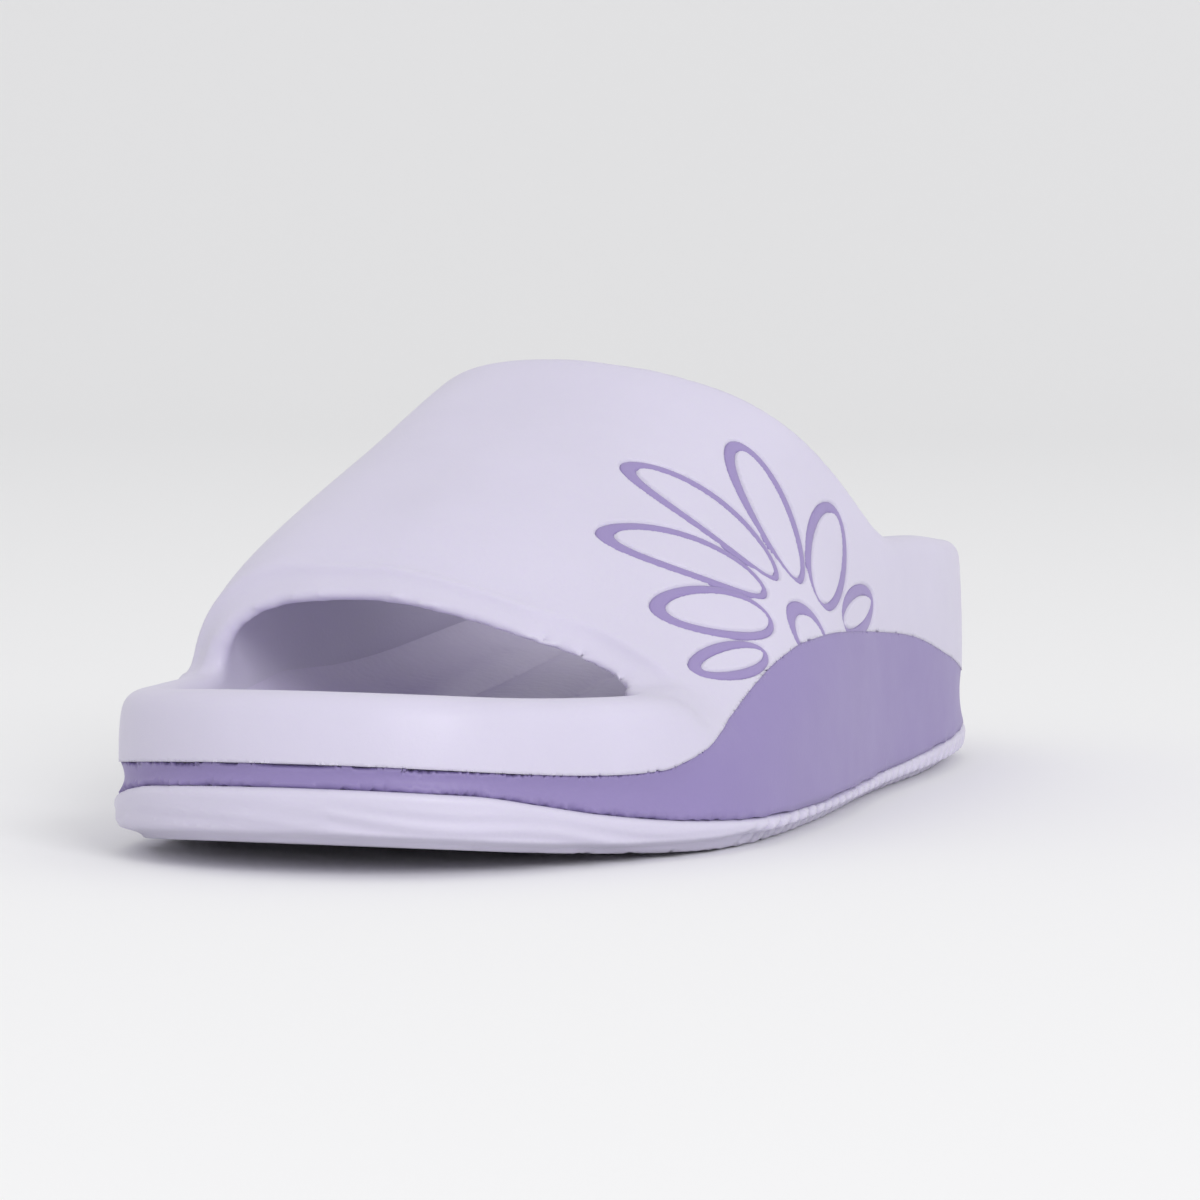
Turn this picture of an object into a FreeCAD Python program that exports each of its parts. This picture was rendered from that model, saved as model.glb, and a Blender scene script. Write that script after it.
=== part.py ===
"""A two-colour moulded foam slide for a left foot, in millimetres.

Toe towards -Y, heel towards +Y, the outer (lateral) side of the foot towards +X, up +Z.
The origin is at the middle of the sole's footprint, on the floor.
From the floor up: a treaded outsole, a coloured midsole whose side walls rise in a wave,
an upper shell (rim and strap) and a ribbed footbed. A line motif is inlaid in the strap.
"""
import FreeCAD, Part
import math
import os

import Sketcher  # noqa: F401  registers Sketcher::SketchObject

V = FreeCAD.Vector
doc = FreeCAD.newDocument("FoamSlide")

# ---------------------------------------------------------------- driving dimensions
DIMENSIONS = {
    "sole_length": 265.0, "ball_width": 105.0, "toe_spring": 6.0, "spring_start": 75.0,
    "outsole_height": 5.0, "outsole_end": 8.0, "midsole_level": 12.2, "midsole_inset": 1.5,
    "tread_depth": 2.4, "groove_width": 2.6, "groove_pitch": 9.5, "tread_tilt": 18.0,
    "rim_toe": 24.0, "rim_heel": 43.0, "rim_saddle": 46.0, "rim_width": 9.5,
    "bed_toe": 18.0, "bed_heel": 31.0, "rib_height": 1.5, "rib_pitch": 14.5, "rib_sink": 4.0,
    "strap_front": 58.0, "strap_rear": 140.0, "strap_thick": 6.0, "strap_base": 18.0, "edge_sweep": 14.0,
    "crown_front": 45.6, "crown_mid": 67.2, "crown_rear": 81.5,
    "peak_front": -13.5, "peak_rear": -9.0,
    "medial_power": 2.55, "lateral_power_front": 1.6, "lateral_power_rear": 2.1,
    "wave_outer": 32.5, "wave_inner": 24.8, "wave_thick": 5.0,
    "motif_station": 105.0, "motif_tilt": 38.0, "inlay_depth": 1.2,
    "petal_start": 12.0, "petal_end": 46.0, "petal_width": 12.5, "line_thin": 1.2, "line_thick": 2.6,
    "leaf_front": 20.0, "leaf_rear": 25.0, "leaf_width": 8.0, "leaf_offset": 19.0, "centre_radius": 7.5,
}
sheet = doc.addObject("Spreadsheet::Sheet", "Dimensions")
for row, (alias, value) in enumerate(DIMENSIONS.items(), start=1):
    sheet.set(f"A{row}", alias)
    sheet.set(f"B{row}", str(value))
    sheet.setAlias(f"B{row}", alias)
doc.recompute()


def dim(alias):
    """A driving dimension, read from the sheet."""
    return float(sheet.get(alias))


LENGTH, HALF = dim("sole_length"), dim("ball_width") / 2
# The footprint: (share of the half ball width, share of the length from the toe), lateral side first.
FOOTPRINT = [
    (-0.12, 0.0), (0.31, 0.022), (0.62, 0.095), (0.93, 0.21), (1.0, 0.33), (0.98, 0.45),
    (0.93, 0.585), (0.92, 0.715), (0.86, 0.84), (0.67, 0.94), (0.03, 1.0),
    (-0.55, 0.94), (-0.72, 0.84), (-0.78, 0.715), (-0.84, 0.585), (-0.93, 0.45),
    (-1.0, 0.33), (-0.99, 0.21), (-0.9, 0.095), (-0.56, 0.022),
]


# The half daisy's petals: (angle in degrees, share of the longest petal).
PETALS = [(28, 0.96), (59, 1.0), (90, 0.98), (121, 0.89), (152, 0.78)]


# ---------------------------------------------------------------- curves that the parts share
def along(station):
    """Y of a station, which is counted from the toe tip."""
    return station - LENGTH / 2


def smooth(points, at):
    """Value at a station of a curve through (station, value) points, level at each point."""
    if at <= points[0][0]:
        return points[0][1]
    for (s0, v0), (s1, v1) in zip(points, points[1:]):
        if at <= s1:
            share = (at - s0) / (s1 - s0)
            return v0 + (v1 - v0) * share * share * (3 - 2 * share)
    return points[-1][1]


def spring(station):
    """How far the sole curls up off the floor at the toe."""
    start = dim("spring_start")
    return dim("toe_spring") * max(0.0, (start - station) / start) ** 2


def footprint(inset=0.0):
    """The closed footprint curve, drawn in by an inset, at Z = 0."""
    points = [V(HALF * x, along(LENGTH * s), 0) for x, s in FOOTPRINT]
    curve = Part.BSplineCurve()
    curve.interpolate(Points=points, PeriodicFlag=True)
    if inset == 0:
        return curve
    steps, drawn = 36, []
    first, last = curve.FirstParameter, curve.LastParameter
    for k in range(steps):
        at = first + (last - first) * k / steps
        point, tangent = curve.value(at), curve.tangent(at)[0]
        inward = V(-tangent.y, tangent.x, 0)
        drawn.append(point + inward * inset)
    inner = Part.BSplineCurve()
    inner.interpolate(Points=drawn, PeriodicFlag=True)
    return inner


def half_widths(station):
    """(lateral, medial) X of the footprint at a station."""
    line = Part.LineSegment(V(-HALF * 2, along(station), 0), V(HALF * 2, along(station), 0)).toShape()
    found = footprint().toShape().distToShape(line)[1]
    xs = sorted(pair[0].x for pair in found)
    return xs[-1], xs[0]


# ---------------------------------------------------------------- document helpers
def drawing(name, curves, placement=None):
    """A sketch that holds closed curves, in its own plane."""
    made = doc.addObject("Sketcher::SketchObject", name)
    for curve in curves:
        made.addGeometry(curve, False)
    if placement:
        made.Placement = placement
    return made


def prism(name, base, direction, length, back=None):
    """A solid extrusion of a sketch. Lengths are expressions on the sheet."""
    made = doc.addObject("Part::Extrusion", name)
    made.Base, made.DirMode, made.Dir, made.Solid = base, "Custom", direction, True
    made.setExpression("LengthFwd", length)
    if back:
        made.setExpression("LengthRev", back)
    return made


def joined(kind, name, base, tool):
    """A Part::Cut, Part::Fuse or Part::Common of two objects."""
    made = doc.addObject(f"Part::{kind}", name)
    made.Base, made.Tool = base, tool
    return made


def group(name, members, kind="Part::MultiFuse"):
    made = doc.addObject(kind, name)
    if kind == "Part::MultiFuse":
        made.Shapes = members
    else:
        made.Links = members
    return made


SIDE_PLANE = FreeCAD.Placement(V(0, 0, 0), FreeCAD.Rotation(V(0, 1, 0), V(0, 0, 1), V(1, 0, 0), "XYZ"))


def side_profile(name, lower, upper, start=-8.0, stop=None, step=14):
    """A closed profile in the YZ plane between two height functions of the station."""
    stop = LENGTH + 8 if stop is None else stop
    stations = [start + (stop - start) * k / step for k in range(step + 1)]
    low = [V(along(s), lower(s), 0) for s in stations]
    high = [V(along(s), upper(s), 0) for s in stations]
    under, over = Part.BSplineCurve(), Part.BSplineCurve()
    under.interpolate(Points=low)
    over.interpolate(Points=high)
    ends = [Part.LineSegment(low[-1], high[-1]), Part.LineSegment(high[0], low[0])]
    return drawing(name, [under, ends[0], over, ends[1]], SIDE_PLANE)


def slab(name, lower, upper, **span):
    """A wall-to-wall solid between two height functions, wider than the sole."""
    return prism(f"{name}_solid", side_profile(f"{name}_profile", lower, upper, **span),
                 V(1, 0, 0), "Dimensions.ball_width", "Dimensions.ball_width")


def column(name, inset=0.0):
    """A tall upright solid over the footprint."""
    return prism(f"{name}_column", drawing(f"{name}_outline", [footprint(inset)]),
                 V(0, 0, 1), "Dimensions.crown_rear + 20", "20")


# ---------------------------------------------------------------- heights along the foot
def outsole_top(station):
    """The outsole is thin under the foot and thicker at the toe and the heel."""
    low, end = dim("outsole_height"), dim("outsole_end")
    return spring(station) + smooth([(8, end), (50, low), (175, low), (255, end)], station)


def midsole_top(station):
    return dim("midsole_level") + spring(station)


def rim_top(station):
    return spring(station) + smooth(
        [(50, dim("rim_toe")), (150, dim("rim_saddle")), (225, dim("rim_heel"))], station)


def bed_top(station):
    return spring(station) + smooth([(70, dim("bed_toe")), (185, dim("bed_heel"))], station)


def outer_wave(station):
    """Top of the coloured wall on the lateral side, a hill under the motif."""
    peak, low = dim("wave_outer"), dim("outsole_height") + 1
    return smooth([(30, low), (88, peak), (125, peak), (180, peak - 5), (262, low)], station)


def inner_wave(station):
    """Top of the coloured wall on the medial side, a long low swell at the arch."""
    low = dim("outsole_height") + 1
    return smooth([(40, low), (140, dim("wave_inner")), (262, low)], station)


# ---------------------------------------------------------------- outsole
def sole_underside(station):
    """The underside curls up at the toe, and runs just under the floor where the floor trims it flat."""
    start = dim("spring_start")
    return spring(station) - 0.8 * min(1.0, max(0.0, (station - 0.55 * start) / (0.6 * start)))


def make_outsole():
    rough = joined("Common", "outsole_rough", column("outsole", 0.0), slab("outsole", sole_underside, outsole_top))
    above_floor = doc.addObject("Part::Box", "above_floor")
    above_floor.setExpression("Length", "Dimensions.ball_width * 2")
    above_floor.setExpression("Width", "Dimensions.sole_length * 2")
    above_floor.setExpression("Height", "Dimensions.outsole_height * 6")
    above_floor.Placement = FreeCAD.Placement(V(-2 * HALF, -LENGTH, 0), FreeCAD.Rotation())
    body = joined("Common", "outsole_blank", rough, above_floor)
    grooves = []
    tilt, pitch = dim("tread_tilt"), dim("groove_pitch")
    for zone_start, zone_stop in ((28, 112), (178, 252)):
        for k in range(int((zone_stop - zone_start) / pitch)):
            station = zone_start + k * pitch
            groove = doc.addObject("Part::Box", f"groove_{zone_start}_{k}")
            groove.setExpression("Length", "Dimensions.ball_width * 1.4")
            groove.setExpression("Width", "Dimensions.groove_width")
            groove.setExpression("Height", "Dimensions.tread_depth + 2")
            lift = spring(station + pitch / 4) - 2
            turn = FreeCAD.Rotation(V(0, 0, 1), tilt if zone_start < 100 else -tilt)
            corner = V(0, along(station), lift) - turn.multVec(V(dim("ball_width") * 0.7, 0, 0))
            groove.Placement = FreeCAD.Placement(corner, turn)
            grooves.append(groove)
    cutters = group("tread_grooves", grooves, "Part::Compound")
    return joined("Cut", "outsole_part", body, cutters)


# ---------------------------------------------------------------- midsole
def make_wave_blank():
    """Everything outside a line inside the wall and under the two waves, wider than the sole."""
    outer = prism("outer_wave_solid", side_profile("outer_wave_profile", outsole_top, outer_wave),
                  V(1, 0, 0), "Dimensions.ball_width")
    inner = prism("inner_wave_solid", side_profile("inner_wave_profile", outsole_top, inner_wave),
                  V(-1, 0, 0), "Dimensions.ball_width")
    inside = column("wave_inside", dim("wave_thick"))
    return joined("Cut", "wave_blank", group("wave_pair", [outer, inner]), inside)


# ---------------------------------------------------------------- strap
def smooth_line(points, at):
    """Value at a station of an interpolated curve through (station, value) points."""
    curve = Part.BSplineCurve()
    curve.interpolate(Points=[V(s, v, 0) for s, v in points])
    line = Part.LineSegment(V(at, -400, 0), V(at, 400, 0))
    return curve.intersect(line)[0].Y


def crown(station):
    """Height of the strap's top line."""
    return smooth_line([(45, 37.0), (62, dim("crown_front")), (105, dim("crown_mid")),
                        (140, dim("crown_rear")), (175, dim("crown_rear") + 4)], station)


def arch_section(station, inset):
    """A closed section across the foot: upright legs under an arch whose peak is towards the big toe."""
    lateral, medial = half_widths(station)
    peak = smooth([(62, dim("peak_front")), (140, dim("peak_rear"))], station)
    lateral_power = smooth([(62, dim("lateral_power_front")), (140, dim("lateral_power_rear"))], station)
    sides = ((lateral - inset - peak, 2 / lateral_power), (peak - medial - inset, 2 / dim("medial_power")))
    base, top = dim("strap_base"), crown(station) - inset
    steps, arch = 16, []
    for k in range(steps + 1):
        turn = math.pi * k / steps
        half, power = sides[0] if 2 * k <= steps else sides[1]
        x = peak + half * math.copysign(abs(math.cos(turn)) ** power, math.cos(turn))
        arch.append(V(x, along(station), base + (top - base) * math.sin(turn) ** power))
    over = Part.BSplineCurve()
    over.interpolate(Points=arch)
    foot = dim("midsole_level") - 2
    low = [V(arch[-1].x, along(station), foot), V(arch[0].x, along(station), foot)]
    legs = [Part.makeLine(arch[-1], low[0]), Part.makeLine(low[0], low[1]), Part.makeLine(low[1], arch[0])]
    return Part.Wire([over.toShape()] + legs)


def arch_solid(name, inset):
    """The strap's hull, from in front of the toe opening to behind the foot opening."""
    made = doc.addObject("Part::Feature", name)
    made.Shape = Part.makeLoft([arch_section(s, inset) for s in (50, 72, 94, 116, 138, 160)], True, False)
    return made


def edge_keeper():
    """An upright solid over the strap, whose ends are the curved front and rear edges."""
    front, rear, sweep = dim("strap_front"), dim("strap_rear"), dim("edge_sweep")
    wide = HALF + 6
    front_edge, rear_edge = Part.BSplineCurve(), Part.BSplineCurve()
    front_edge.interpolate(Points=[V(wide, along(front - 3), 0), V(HALF * 0.6, along(front + 1), 0),
                                   V(0, along(front - 1), 0), V(-HALF * 0.6, along(front + 1), 0),
                                   V(-wide, along(front + 4), 0)])
    rear_edge.interpolate(Points=[V(-wide, along(rear + sweep * 1.6), 0), V(-HALF * 0.6, along(rear), 0),
                                  V(0, along(rear - 4), 0), V(HALF * 0.55, along(rear + sweep * 0.45), 0),
                                  V(wide, along(rear + sweep * 1.65), 0)])
    sides = [Part.LineSegment(front_edge.EndPoint, rear_edge.StartPoint),
             Part.LineSegment(rear_edge.EndPoint, front_edge.StartPoint)]
    return prism("strap_plan_solid", drawing("strap_plan", [front_edge, sides[0], rear_edge, sides[1]]),
                 V(0, 0, 1), "Dimensions.crown_rear + 20")


# ---------------------------------------------------------------- motif
def motif_placement():
    """The plane that faces the motif: its X runs to the heel and its Y runs up the strap."""
    tilt = math.radians(dim("motif_tilt"))
    normal = V(math.cos(tilt), 0, math.sin(tilt))
    up = V(-math.sin(tilt), 0, math.cos(tilt))
    centre = V(HALF * 0.97, along(dim("motif_station")), dim("wave_outer") + 1.5)
    return FreeCAD.Placement(centre, FreeCAD.Rotation(V(0, 1, 0), up, normal, "XYZ"))


def loop_drawing(name, start, end, width, angle, origin=(0.0, 0.0)):
    """A drawn loop, thin at its root and thick at its tip: an ellipse with a smaller one in it."""
    thin, thick = dim("line_thin"), dim("line_thick")
    turn = math.radians(angle)
    axis, across = V(math.cos(turn), math.sin(turn), 0), V(-math.sin(turn), math.cos(turn), 0)
    base = V(origin[0], origin[1], 0)
    outer_mid, outer_half = (start + end) / 2, (end - start) / 2
    inner_mid, inner_half = (start + thin + end - thick) / 2, (end - thick - start - thin) / 2
    curves = []
    for mid, long_half, short_half in ((outer_mid, outer_half, width / 2),
                                       (inner_mid, inner_half, width / 2 - (thin + thick) / 2)):
        centre = base + axis * mid
        curves.append(Part.Ellipse(centre + axis * long_half, centre + across * short_half, centre))
    return drawing(name, curves, motif_placement())


def make_inlays(skin):
    """Each drawn loop, as the piece of the strap's skin inside it."""
    start, end, width = dim("petal_start"), dim("petal_end"), dim("petal_width")
    loops = [(f"petal_inlay_{k + 1}", start, end * share, width, angle, (0.0, 0.0))
             for k, (angle, share) in enumerate(PETALS)]
    reach, broad, ring = dim("leaf_offset"), dim("leaf_width"), dim("centre_radius")
    loops.append(("flower_centre_inlay", -ring, ring, 2 * ring, 90.0, (0.0, 0.0)))
    loops.append(("front_leaf_inlay", 0.0, dim("leaf_front"), broad, 172.0, (-reach, 1.0)))
    loops.append(("rear_leaf_inlay", 0.0, dim("leaf_rear"), broad, 8.0, (reach, 1.0)))
    made = []
    for name, first, last, wide, angle, origin in loops:
        blank = prism(f"{name}_prism", loop_drawing(f"{name}_drawing", first, last, wide, angle, origin),
                      motif_placement().Rotation.multVec(V(0, 0, 1)), "40", "30")
        made.append(joined("Common", f"{name}_part", skin, blank))
        made[-1].Label = name
    return made


# ---------------------------------------------------------------- footbed
def make_footbed():
    """A bed inside the rim, with three groups of long pillow ribs along it."""
    bed = joined("Common", "bed_blank", column("bed", dim("rim_width")), slab("bed", midsole_top, bed_top))
    ribs = []
    for zone, (first, last) in {"ball": (18, 112), "arch": (106, 172), "heel": (166, 240)}.items():
        middle, rise = (first + last) / 2, bed_top(last - 12) - bed_top(first + 12)
        slope = FreeCAD.Rotation(V(1, 0, 0), math.degrees(math.atan2(rise, last - first - 24)))
        lateral, medial = half_widths(middle)
        for k in range(-2, 3):
            rib = doc.addObject("Part::Ellipsoid", f"{zone}_rib_{k + 3}")
            rib.setExpression("Radius1", "Dimensions.rib_height + Dimensions.rib_sink")
            rib.setExpression("Radius2", "Dimensions.rib_pitch * 0.7")
            rib.Radius3 = (last - first) / 2 * (1.0 - 0.06 * abs(k))
            across = (lateral + medial) / 2 + k * dim("rib_pitch")
            rib.Placement = FreeCAD.Placement(V(across, along(middle), bed_top(middle) - dim("rib_sink")), slope)
            ribs.append(rib)
    room = joined("Common", "rib_room", column("rib_limit", dim("rim_width") + 3),
                  slab("rib_room", midsole_top, lambda station: bed_top(station) + 6))
    return joined("Fuse", "footbed_part", bed, joined("Common", "ribs_inside", group("rib_set", ribs), room))


# ---------------------------------------------------------------- build and write
def main():
    outsole = make_outsole()
    layer = joined("Common", "midsole_layer", column("midsole", dim("midsole_inset")),
                   slab("midsole", outsole_top, midsole_top))
    hull, hollow = arch_solid("hull", 0.0), arch_solid("hollow", dim("strap_thick"))
    skin_inside = arch_solid("skin_inside", dim("inlay_depth"))
    keeper = edge_keeper()
    rim_ring = joined("Cut", "rim_ring", column("rim", 0.6), column("rim_hollow", dim("rim_width")))
    rim = joined("Common", "rim_blank", rim_ring, slab("rim", midsole_top, rim_top))
    tunnel = joined("Cut", "strap_tunnel", hull, hollow)
    strap = joined("Common", "strap_blank", joined("Common", "strap_cut", tunnel, keeper),
                   slab("strap", midsole_top, lambda station: 120.0))
    shell = joined("Fuse", "shell_blank", rim, strap)
    wave_blank = make_wave_blank()
    midsole = joined("Fuse", "midsole_part", layer, joined("Common", "wave_walls", shell, wave_blank))
    shell_cut = joined("Cut", "shell_waved", shell, wave_blank)
    skin_kept = joined("Common", "skin_kept", hull, keeper)
    skin = joined("Cut", "strap_skin", joined("Cut", "skin_all", skin_kept, skin_inside), wave_blank)
    inlays = make_inlays(skin)
    footbed = make_footbed()
    upper = joined("Cut", "upper_part", shell_cut, group("inlay_set", inlays, "Part::Compound"))
    doc.recompute()

    parts = {"outsole": outsole, "midsole": midsole, "upper_shell": upper, "footbed": footbed}
    for label, made in parts.items():
        made.Label = label
    parts.update({inlay.Label: inlay for inlay in inlays})
    for made in doc.Objects:
        if "Invalid" in made.State or "Error" in made.State:
            raise RuntimeError(f"{made.Name} failed: {made.State}")
    os.makedirs("parts", exist_ok=True)
    for label, made in parts.items():
        if made.Shape.isNull() or not made.Shape.isValid() or not made.Shape.Solids:
            raise RuntimeError(f"{label} has no valid solid")
        made.Shape.exportStep(f"parts/{label}.step")
        box = made.Shape.BoundBox
        print(f"{label}: {len(made.Shape.Solids)} solid(s), {made.Shape.Volume / 1000:.1f} cm3, "
              f"x {box.XMin:.1f}..{box.XMax:.1f} y {box.YMin:.1f}..{box.YMax:.1f} z {box.ZMin:.1f}..{box.ZMax:.1f}")


main()
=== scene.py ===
"""A two-colour moulded foam slide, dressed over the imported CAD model.

The shapes are worked out in millimetres as distance fields (negative inside), turned into
meshes, and settled onto the fields. Stations are counted from the toe tip towards the heel.
"""
import math

import bmesh
import bpy
import numpy as np
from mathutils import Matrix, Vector


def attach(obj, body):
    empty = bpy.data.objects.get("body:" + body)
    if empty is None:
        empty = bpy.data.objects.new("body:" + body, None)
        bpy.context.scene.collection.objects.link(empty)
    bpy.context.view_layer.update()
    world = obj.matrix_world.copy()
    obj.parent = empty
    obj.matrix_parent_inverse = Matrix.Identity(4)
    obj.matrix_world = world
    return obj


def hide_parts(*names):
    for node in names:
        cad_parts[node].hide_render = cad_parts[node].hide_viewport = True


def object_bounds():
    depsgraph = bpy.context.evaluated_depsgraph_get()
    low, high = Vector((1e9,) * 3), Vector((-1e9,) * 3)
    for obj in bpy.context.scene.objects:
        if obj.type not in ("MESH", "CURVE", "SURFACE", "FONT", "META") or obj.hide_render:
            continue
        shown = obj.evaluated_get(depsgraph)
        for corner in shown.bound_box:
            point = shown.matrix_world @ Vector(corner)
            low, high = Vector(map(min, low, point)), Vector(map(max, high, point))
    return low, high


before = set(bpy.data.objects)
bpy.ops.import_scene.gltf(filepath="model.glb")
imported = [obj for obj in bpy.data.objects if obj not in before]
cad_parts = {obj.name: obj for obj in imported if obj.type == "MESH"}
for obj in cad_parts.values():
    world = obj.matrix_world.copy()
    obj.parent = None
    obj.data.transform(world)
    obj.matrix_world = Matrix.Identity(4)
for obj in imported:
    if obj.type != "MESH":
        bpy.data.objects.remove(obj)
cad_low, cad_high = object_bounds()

MM = 0.001
PLAY = 0.1                                # between the footprint and the CAD box
LENGTH = (cad_high[1] - cad_low[1]) / MM - 2 * PLAY
HALF = (cad_high[0] - cad_low[0]) / MM / 2 - PLAY
TOE = -LENGTH / 2

# ---------------------------------------------------------------- sizes, in millimetres
# A zone is (start, length of its rise, end, length of its fall), as window() takes it.
SPRING, SPRING_START = 6.0, 75.0          # toe curl, and the station where it starts
WALL_INSET = 0.8                          # side wall, in from the outsole's lip

# The arch over the foot.
ARCH_BASE, ARCH_KNEE = 18.5, 4.5          # where it starts, and the length over which legs turn to arch
MEDIAL_POWER = 2.85                       # how square its inner side is
END_POWER, END_HALF = 2.45, 46.0          # its power and half width at the toe and the heel
STRAP_ZONE = (36, 20, 182, 24)            # stations where the arch is the strap's own

# Strap and rim.
STRAP_THICK, RIM_WIDTH, WALL_FLARE = 5.3, 8.2, 3.2
RIM_FADE, RIM_LAP = 16.0, 4.0             # height over which the rim turns to strap, and its start below
BEVEL_REACH, BEVEL_DEPTH, BEVEL_POWER = 3.8, 3.4, 2.2    # soft band along the strap's front edge
FRONT_FILLET, REAR_FILLET = 4.0, 18.0     # where the strap's two edges run into the rim
FRONT_ROUND, REAR_ROUND = 0.8, 4.0        # the outer corners of those edges
RIM_ROUND = 2.8                           # what the rim's outer corner has on top of the strap's
LIP_ROUND, INNER_ROUND = 1.8, 1.6         # the strap's inner corner, and what the rim's has on top
CORNER_FADE = 6.0                         # length over which the corners change
INNER_LEAD = 4.0                          # how far ahead of the lip the rim's inner corner starts
INNER_START, INNER_FADE = 75.0, 20.0      # stations where it comes back behind the lip

# Coloured wall.
MIDSOLE_TOP, WAVE_THICK = 12.0, 2.8
UPPER_LAP, BED_LAP, ROOM_LAP = 0.5, 0.8, 1.0    # how far upper, bed and their room reach below that top
SIDE_BLEND = 28.0                         # width over which the outer hill turns to the inner swell
SEAM_REACH, SEAM_GAP, SEAM_ROUND = 1.0, 0.05, 0.6    # its upper edge
SOLE_GAP, SOLE_ROUND = 0.03, 0.5          # its lower edge
BAND_HEIGHT, BAND_FADE = 6.5, 9.0         # heights over which it turns from a narrow band to a hill
BAND_HOLLOW, BAND_INSET = 0.7, 0.35       # the band's hollow, and how far it lies in
FLARE_GAP, FLARE_POWER = 0.15, 2.5        # the wall's foot, which flares almost to the outsole's lip

# Footbed.
BED_GAP, BED_ROUND, BED_STEEPNESS = 0.4, 0.5, 0.92
BED_EDGE, BED_SPRING = 1.5, 0.8
DISH_RISE, DISH_SHARE = 6.5, 0.5          # how high the edge turns up, at most
DISH_WIDTH, DISH_LIMIT, DISH_POWER = 14.0, 1.3, 2.4
RIB_HEIGHT, RIB_LEVEL, RIB_POWER, RIB_MARGIN = 2.2, 0.7, 0.7, 9.0
RIB_LANES, RIB_LIMIT = 2.75, 1.5          # lanes in half the width, and how far out the valleys go
RIB_SWAY, RIB_SWAY_LENGTH = 0.05, 31.0
# Zones of the ribs' groups, each with its share of the height.
RIB_GROUPS = [
    (198, 12, 246, 14, 1.0), (150, 12, 208, 12, 1.0), (100, 12, 158, 12, 0.9), (18, 12, 108, 12, 1.0),
]

# Outsole.
LUG_INSET, TREAD_DEPTH = 3.2, 2.4
TREAD_PITCH, TREAD_HALF = 9.5, 1.45       # spacing and half width of the grooves
TREAD_LEAN, TREAD_WAVE, TREAD_WAVE_LENGTH = 0.32, 2.2, 7.5
TREAD_SOFT, TREAD_FADE = 1.0, 3.0         # how soft the grooves' sides and ends are
BALL_GROOVES, HEEL_GROOVES = (22, 118), (172, 250)
TREAD_MARGIN, TREAD_MARGIN_SOFT = 2.2, 1.5
WAIST_MIDDLE, WAIST_HALF, WAIST_MARGIN, WAIST_SHARE = 145, 21, 12, 0.7
TOOTH_PITCH, TOOTH_DEPTH = 5.2, 1.0
TOOTH_ZONE, TOOTH_FADE = (58, 14, 248, 12), 8.0    # along the sole, and from the middle to the outer side
TOOTH_LEAN, TOOTH_WAVE = 1.1, 0.75
TOOTH_LAP, TOOTH_SOFT = 1.6, 1.4          # how far above the lip the teeth reach
LIP_LAP, LIP_SOFT = 0.6, 1.2
CURL = 1.3                                # how far the sole's foot draws in
GRAIN_DEPTH, GRAIN_RISE, GRAIN_BEND = 0.2, 2.3, 1.7
GRAIN_ALONG, GRAIN_ACROSS, GRAIN_DRIFT = 8, 13, 6
GRAIN_START, GRAIN_FADE = 0.2, 0.3        # shares of the sole's height
FLOOR_ROUND, TOP_ROUND = 1.0, 1.6

# How near counts as near, and as on it, when the meshes are refined.
SEAM_NEAR, SKIN_NEAR, SEAM_CLOSE = 3.2, 2.0, 1.1
LIP_AHEAD, LIP_BEHIND, LIP_ABOVE, TIP_REACH = 4, 9, 1, 2.6
TEETH_NEAR = 4.5
MOTIF_NEAR, MOTIF_CLOSE = 2.6, 1.2
# Each mesh's lowest and highest level, and its cell.
OUTSOLE_MESH, MIDSOLE_MESH = (0, 14.5, 0.95), (4.5, 34, 1.15)
UPPER_MESH, BED_MESH = (12, 84, 1.25), (12, 42, 1.0)
MESH_MARGIN = 1

# Footprint points: (share of the half width, share of the length), lateral side first.
FOOTPRINT = [
    (-0.12, 0.0), (0.31, 0.022), (0.62, 0.095), (0.93, 0.21), (1.0, 0.33), (0.98, 0.45),
    (0.93, 0.585), (0.92, 0.715), (0.86, 0.84), (0.67, 0.94), (0.03, 1.0),
    (-0.55, 0.94), (-0.72, 0.84), (-0.78, 0.715), (-0.84, 0.585), (-0.93, 0.45),
    (-1.0, 0.33), (-0.99, 0.21), (-0.9, 0.095), (-0.56, 0.022),
]


# ---------------------------------------------------------------- curves
def ease(share):
    """Smooth step from 0 to 1."""
    share = np.clip(share, 0.0, 1.0)
    return share * share * (3 - 2 * share)


def window(at, start, rise, end, fall, height=1.0):
    """The height inside a zone, and nothing outside it."""
    return height * ease((at - start) / rise) * ease((end - at) / fall)


def curve(*points):
    """A smooth curve through (at, value) points that doesn't overshoot them."""
    at, value = np.array(points, float).T
    step, rise = np.diff(at), np.diff(value)
    slope = rise / step
    lean = np.zeros(len(at))
    same = slope[:-1] * slope[1:] > 0
    lean[1:-1][same] = 2 / (1 / slope[:-1][same] + 1 / slope[1:][same])
    lean[0], lean[-1] = slope[0] * 0.5, slope[-1] * 0.5

    def read(where):
        where = np.clip(where, at[0], at[-1])
        k = np.clip(np.searchsorted(at, where) - 1, 0, len(step) - 1)
        u = (where - at[k]) / step[k]
        start = (1 + 2 * u) * (1 - u) ** 2 * value[k] + u * (1 - u) ** 2 * step[k] * lean[k]
        end = u * u * (3 - 2 * u) * value[k + 1] + u * u * (u - 1) * step[k] * lean[k + 1]
        return start + end

    return read


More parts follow.
